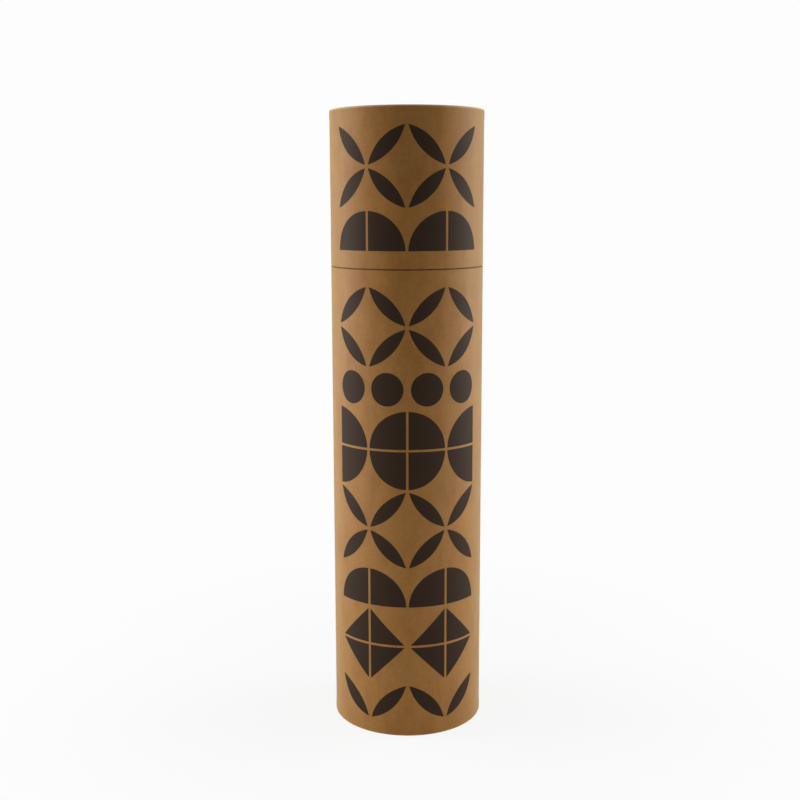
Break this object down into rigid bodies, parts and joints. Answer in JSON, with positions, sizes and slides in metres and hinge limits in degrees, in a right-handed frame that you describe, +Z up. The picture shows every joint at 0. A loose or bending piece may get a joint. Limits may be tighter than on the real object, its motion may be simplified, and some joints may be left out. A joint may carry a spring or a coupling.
{
  "type": "kraft cylinder box",
  "caption": "Tall round kraft board tube box: a base tube with a glued-in neck tube, and a flush lift-off lid of the same diameter, both closed by inset board discs.",
  "frame": {"origin": "on the tube's axis, in the plane of the bottom rim that the box stands on", "axes": "+Z up along the tube's axis, from the base towards the lid; the printed front faces -Y"},
  "size_m": [0.0842, 0.0842, 0.3422],
  "materials": {
    "kraft_wrap": "matte",
    "kraft_liner": "matte",
    "kraft_disc": "matte"
  },
  "bodies": {
    "base": {"base_tube": "kraft_wrap", "neck_tube": "kraft_liner", "base_disc": "kraft_disc"},
    "lid": {"lid_tube": "kraft_wrap", "lid_disc": "kraft_disc"}
  },
  "joints": [
    {"name": "lid_lift", "type": "slide", "parent": "base", "child": "lid", "axis": [0, 0, 1], "range_m": [0, 0.125]}
  ]
}
